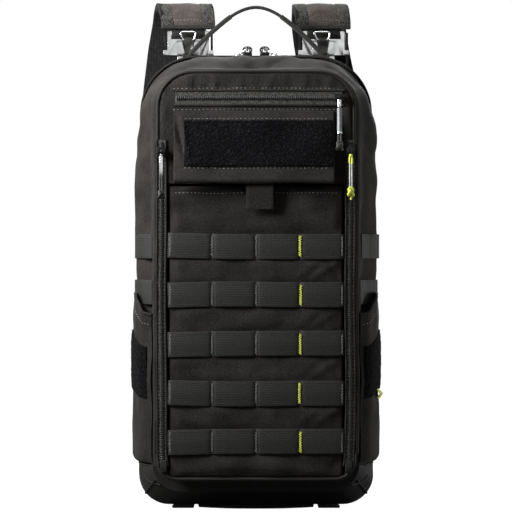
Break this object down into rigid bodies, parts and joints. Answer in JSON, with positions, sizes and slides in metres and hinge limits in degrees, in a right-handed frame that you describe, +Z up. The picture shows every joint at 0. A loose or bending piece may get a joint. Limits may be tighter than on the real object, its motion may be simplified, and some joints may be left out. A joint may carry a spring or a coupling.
{
  "type": "trauma backpack",
  "caption": "Soft medical backpack with a fold-down webbing panel, patch flap, side pockets, hinged back lid, carry handle and shoulder straps on quick-release metal buckles.",
  "frame": {"origin": "middle of the base handle's underside, on the plane that the bag stands on", "axes": "+X to the right seen from the front, +Y from the front towards the wearer's back, +Z up"},
  "size_m": [0.2638, 0.2326, 0.531],
  "materials": {
    "pack_fabric": "matt plain-weave nylon",
    "coated_fabric": "coated nylon",
    "webbing": "ribbed nylon webbing",
    "loop_pile": "loop pile",
    "strap_fabric": "padded nylon with mesh lining",
    "spacer_mesh": "spacer mesh over foam",
    "zip_tape": "laminated water-repellent tape",
    "lime_thread": "bonded thread",
    "pull_cord": "cord and sleeve",
    "black_zinc": "satin black",
    "polished_alloy": "polished",
    "black_acetal": "moulded",
    "frame_board": "extruded sheet"
  },
  "bodies": {
    "bag": {"main_shell": "pack_fabric", "base_boot": "coated_fabric", "main_zip_track_front": "zip_tape", "front_pocket_shell": "pack_fabric", "organizer_loops": "webbing", "admin_zip_track": "zip_tape", "front_zip_track_left": "zip_tape", "front_zip_track_right": "zip_tape", "side_pocket_left": "pack_fabric", "side_pocket_right": "pack_fabric", "side_loop_patches": "loop_pile", "side_webbing": "webbing", "base_webbing": "webbing", "base_handle": "webbing"},
    "front_door": {"front_panel": "pack_fabric", "bar_tacks": "lime_thread", "pull_tab": "pack_fabric", "front_webbing_1": "webbing", "front_webbing_2": "webbing", "front_webbing_3": "webbing", "front_webbing_4": "webbing", "front_webbing_5": "webbing"},
    "patch_flap": {"front_flap": "pack_fabric", "flap_loop_patch": "loop_pile"},
    "back_lid": {"back_shell": "pack_fabric", "main_zip_track_back": "zip_tape", "frame_sheet": "frame_board", "hydration_sleeve": "pack_fabric", "back_pad_left": "spacer_mesh", "back_pad_right": "spacer_mesh", "lumbar_pad": "spacer_mesh", "buckle_tongue_left": "polished_alloy", "buckle_tongue_right": "polished_alloy", "anchor_webbing": "webbing", "lifter_hooks": "black_acetal", "lower_webbing_left": "webbing", "lower_webbing_right": "webbing"},
    "carry_handle": {"carry_handle": "webbing"},
    "admin_slider": {"admin_slider": "black_zinc"},
    "admin_pull": {"admin_pull": "pull_cord"},
    "strap_left": {"shoulder_strap_left": "strap_fabric", "buckle_frame_left": "polished_alloy", "ladder_lock_left": "black_acetal"},
    "sternum_strap_left": {"sternum_strap_left": "webbing"},
    "lever_left_inner": {"release_lever_left_inner": "polished_alloy"},
    "lever_left_outer": {"release_lever_left_outer": "polished_alloy"},
    "main_slider_left": {"main_slider_left": "black_zinc"},
    "main_pull_left": {"main_pull_left": "pull_cord"},
    "front_slider_left": {"front_slider_left": "black_zinc"},
    "front_pull_left": {"front_pull_left": "pull_cord"},
    "strap_right": {"shoulder_strap_right": "strap_fabric", "buckle_frame_right": "polished_alloy", "ladder_lock_right": "black_acetal"},
    "sternum_strap_right": {"sternum_strap_right": "webbing"},
    "lever_right_inner": {"release_lever_right_inner": "polished_alloy"},
    "lever_right_outer": {"release_lever_right_outer": "polished_alloy"},
    "main_slider_right": {"main_slider_right": "black_zinc"},
    "main_pull_right": {"main_pull_right": "pull_cord"},
    "front_slider_right": {"front_slider_right": "black_zinc"},
    "front_pull_right": {"front_pull_right": "pull_cord"}
  },
  "joints": [
    {"name": "back_lid_open", "type": "hinge", "parent": "bag", "child": "back_lid", "pos_m": [0, 0.08, 0.05], "axis": [1, 0, 0], "range_deg": [-90, 0]},
    {"name": "front_panel_open", "type": "hinge", "parent": "bag", "child": "front_door", "pos_m": [0, -0.084, 0.038], "axis": [1, 0, 0], "range_deg": [0, 90]},
    {"name": "patch_flap_lift", "type": "hinge", "parent": "bag", "child": "patch_flap", "pos_m": [0, -0.08575, 0.405], "axis": [-1, 0, 0], "range_deg": [0, 105]},
    {"name": "carry_handle_fold", "type": "hinge", "parent": "back_lid", "child": "carry_handle", "pos_m": [0, 0.058, 0.4707], "axis": [1, 0, 0], "range_deg": [0, 75], "stiffness_Nm_per_rad": 0.05},
    {"name": "main_slider_left_slide", "type": "slide", "parent": "bag", "child": "main_slider_left", "axis": [1, 0, 0], "range_m": [-0.05, 0]},
    {"name": "main_slider_right_slide", "type": "slide", "parent": "bag", "child": "main_slider_right", "axis": [-1, 0, 0], "range_m": [-0.05, 0]},
    {"name": "admin_slider_slide", "type": "slide", "parent": "bag", "child": "admin_slider", "axis": [1, 0, 0], "range_m": [-0.15, 0]},
    {"name": "admin_pull_swing", "type": "hinge", "parent": "admin_slider", "child": "admin_pull", "pos_m": [0.083, -0.0941, 0.418], "axis": [-1, 0, 0], "range_deg": [0, 140]},
    {"name": "main_pull_left_swing", "type": "hinge", "parent": "main_slider_left", "child": "main_pull_left", "pos_m": [-0.009, 0.038, 0.477], "axis": [1, 0, 0], "range_deg": [-105, 0]},
    {"name": "front_slider_left_slide", "type": "slide", "parent": "bag", "child": "front_slider_left", "axis": [0, 0, 1], "range_m": [-0.29, 0]},
    {"name": "front_pull_left_swing", "type": "hinge", "parent": "front_slider_left", "child": "front_pull_left", "pos_m": [-0.0945, -0.0941, 0.364], "axis": [-1, 0, 0], "range_deg": [0, 150]},
    {"name": "strap_left_release", "type": "slide", "parent": "back_lid", "child": "strap_left", "axis": [0, 0, 1], "range_m": [0, 0.02]},
    {"name": "sternum_left_slide", "type": "slide", "parent": "strap_left", "child": "sternum_strap_left", "axis": [0, 0.0499, 0.9988], "range_m": [-0.03, 0.03]},
    {"name": "lever_left_inner_squeeze", "type": "hinge", "parent": "strap_left", "child": "lever_left_inner", "pos_m": [-0.0471, 0.0905, 0.47625], "axis": [0, -1, 0], "range_deg": [0, 3], "stiffness_Nm_per_rad": 0.3},
    {"name": "lever_left_outer_squeeze", "type": "hinge", "parent": "strap_left", "child": "lever_left_outer", "pos_m": [-0.0969, 0.0905, 0.47625], "axis": [0, 1, 0], "range_deg": [0, 3], "stiffness_Nm_per_rad": 0.3},
    {"name": "main_pull_right_swing", "type": "hinge", "parent": "main_slider_right", "child": "main_pull_right", "pos_m": [0.009, 0.038, 0.477], "axis": [1, 0, 0], "range_deg": [-105, 0]},
    {"name": "front_slider_right_slide", "type": "slide", "parent": "bag", "child": "front_slider_right", "axis": [0, 0, 1], "range_m": [-0.29, 0]},
    {"name": "front_pull_right_swing", "type": "hinge", "parent": "front_slider_right", "child": "front_pull_right", "pos_m": [0.0945, -0.0941, 0.364], "axis": [-1, 0, 0], "range_deg": [0, 150]},
    {"name": "strap_right_release", "type": "slide", "parent": "back_lid", "child": "strap_right", "axis": [0, 0, 1], "range_m": [0, 0.02]},
    {"name": "sternum_right_slide", "type": "slide", "parent": "strap_right", "child": "sternum_strap_right", "axis": [0, 0.0499, 0.9988], "range_m": [-0.03, 0.03]},
    {"name": "lever_right_inner_squeeze", "type": "hinge", "parent": "strap_right", "child": "lever_right_inner", "pos_m": [0.0471, 0.0905, 0.47625], "axis": [0, 1, 0], "range_deg": [0, 3], "stiffness_Nm_per_rad": 0.3},
    {"name": "lever_right_outer_squeeze", "type": "hinge", "parent": "strap_right", "child": "lever_right_outer", "pos_m": [0.0969, 0.0905, 0.47625], "axis": [0, -1, 0], "range_deg": [0, 3], "stiffness_Nm_per_rad": 0.3}
  ],
  "couplings": [
    {"joint": "lever_left_inner_squeeze", "follows": "lever_left_outer_squeeze", "ratio": 1},
    {"joint": "lever_right_inner_squeeze", "follows": "lever_right_outer_squeeze", "ratio": 1}
  ]
}
